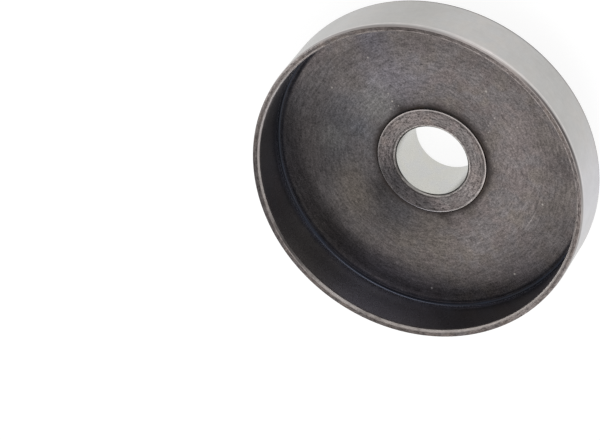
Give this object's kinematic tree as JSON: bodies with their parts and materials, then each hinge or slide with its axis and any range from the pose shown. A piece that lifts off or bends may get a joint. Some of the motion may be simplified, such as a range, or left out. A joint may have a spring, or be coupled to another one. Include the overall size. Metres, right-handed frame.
{
  "type": "chainsaw clutch drum",
  "caption": "Steel clutch drum: a shallow turned cup with a flat web and a shoe track inside, on a splined hub with a smooth bearing bore.",
  "frame": {"origin": "on the drum's axis, in the end face of the hub that the drum stands on", "axes": "+Z along the axis, out of the cup's mouth; +X through the middle of one spline key"},
  "size_m": [0.0728, 0.0728, 0.0248],
  "materials": {
    "cup_steel": "ground satin outside wall, turned mouth, dark mottled heat scale on the web and the shoe track",
    "hub_steel": "mottled heat scale on the turned faces and the splines, honed pale bore"
  },
  "bodies": {
    "root": {"drum_cup": "cup_steel", "splined_hub": "hub_steel"}
  },
  "joints": []
}
